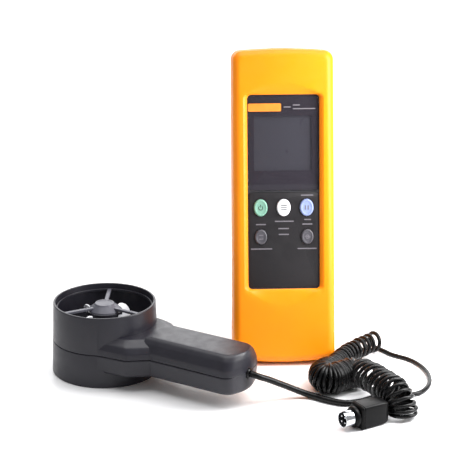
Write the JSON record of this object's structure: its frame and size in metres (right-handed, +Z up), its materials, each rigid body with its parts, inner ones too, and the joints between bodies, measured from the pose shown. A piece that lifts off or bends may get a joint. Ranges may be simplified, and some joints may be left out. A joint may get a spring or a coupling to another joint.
{
  "type": "vane anemometer",
  "caption": "Hand-held vane anemometer: meter in a rubber holster leaning on its tilt stand, with a separate drum-shaped vane sensor on a curly cord ending in a round plug.",
  "frame": {"origin": "on the table, under the middle of the box around the meter and the sensor without the cord and plug", "axes": "+Z up, the meter's display faces -Y but for a turn of 2.3 degrees towards the sensor, +X to the right as the display is read"},
  "size_m": [0.2382, 0.1839, 0.1958],
  "materials": {
    "boot_rubber": "soft satin rubber",
    "case_plastic": "fine moulded texture",
    "panel_print": "printed matt overlay",
    "lens_gloss": "polished smoked window",
    "lcd": "grey liquid-crystal panel",
    "sensor_plastic": "satin moulded shell",
    "bridge_plastic": "satin light grey",
    "vane_plastic": "thin white moulding",
    "board": "solder-masked board",
    "steel": "plated",
    "bronze": "sintered",
    "magnet": "bonded ferrite",
    "cord_black": "satin jacket",
    "connector_metal": "bright nickel plate",
    "mat_rubber": "silicone",
    "battery_wrap": "printed metal case",
    "button_green": "satin",
    "button_white": "satin",
    "button_violet": "satin",
    "button_grey": "satin"
  },
  "bodies": {
    "meter": {"holster": "boot_rubber", "front_shell": "case_plastic", "rear_shell": "case_plastic", "display_lens": "lens_gloss", "keypad_overlay": "panel_print", "lcd_glass": "lcd", "lcd_frame": "case_plastic", "keypad_mat": "mat_rubber", "main_board": "board", "battery": "battery_wrap", "battery_snap": "cord_black", "sensor_socket": "cord_black", "case_screw_1": "steel", "case_screw_2": "steel", "case_screw_3": "steel", "case_screw_4": "steel", "stand_pin": "steel"},
    "power_button": {"power_button": "button_green"},
    "function_button": {"function_button": "button_white"},
    "hold_button": {"hold_button": "button_violet"},
    "min_max_button": {"min_max_button": "button_grey"},
    "average_button": {"average_button": "button_grey"},
    "tilt_stand": {"tilt_stand": "case_plastic"},
    "battery_door": {"battery_door": "case_plastic"},
    "sensor": {"sensor_upper_shell": "sensor_plastic", "sensor_lower_shell": "sensor_plastic", "front_bridge": "bridge_plastic", "rear_bridge": "bridge_plastic", "upper_bearing": "bronze", "lower_bearing": "bronze", "pickup_board": "board", "handle_board": "board", "sensor_screw_1": "steel", "sensor_screw_2": "steel", "sensor_screw_3": "steel", "cord_grommet": "cord_black", "cord_lead": "cord_black", "cord_coil_upper": "cord_black", "cord_coil_lower": "cord_black", "cord_tail": "cord_black", "plug_body": "cord_black", "plug_collar": "cord_black", "plug_shell": "connector_metal", "plug_insert": "cord_black", "plug_pin_1": "connector_metal", "plug_pin_2": "connector_metal", "plug_pin_3": "connector_metal", "plug_pin_4": "connector_metal"},
    "rotor": {"rotor_shaft": "steel", "impeller": "vane_plastic", "rotor_magnet": "magnet"}
  },
  "joints": [
    {"name": "power_press", "type": "slide", "parent": "meter", "child": "power_button", "axis": [-0.0393, 0.9774, -0.2079], "range_m": [0, 0.0008], "stiffness_N_per_m": 300, "springref_m": -0.0003},
    {"name": "function_press", "type": "slide", "parent": "meter", "child": "function_button", "axis": [-0.0393, 0.9774, -0.2079], "range_m": [0, 0.0008], "stiffness_N_per_m": 300, "springref_m": -0.0003},
    {"name": "hold_press", "type": "slide", "parent": "meter", "child": "hold_button", "axis": [-0.0393, 0.9774, -0.2079], "range_m": [0, 0.0008], "stiffness_N_per_m": 300, "springref_m": -0.0003},
    {"name": "min_max_press", "type": "slide", "parent": "meter", "child": "min_max_button", "axis": [-0.0393, 0.9774, -0.2079], "range_m": [0, 0.0008], "stiffness_N_per_m": 300, "springref_m": -0.0003},
    {"name": "average_press", "type": "slide", "parent": "meter", "child": "average_button", "axis": [-0.0393, 0.9774, -0.2079], "range_m": [0, 0.0008], "stiffness_N_per_m": 300, "springref_m": -0.0003},
    {"name": "stand_fold", "type": "hinge", "parent": "meter", "child": "tilt_stand", "pos_m": [0.05483, 0.05751, 0.11361], "axis": [-0.9992, -0.0401, 0], "range_deg": [0, 20]},
    {"name": "door_lift", "type": "slide", "parent": "meter", "child": "battery_door", "axis": [-0.0393, 0.9774, -0.2079], "range_m": [0, 0.03]},
    {"name": "sensor_lift", "type": "slide", "parent": "meter", "child": "sensor", "axis": [0, 0, 1], "range_m": [0, 0.12]},
    {"name": "vane_spin", "type": "hinge", "parent": "sensor", "child": "rotor", "pos_m": [-0.05583, -0.0084, 0.03], "axis": [0, 0, 1], "continuous": true}
  ]
}
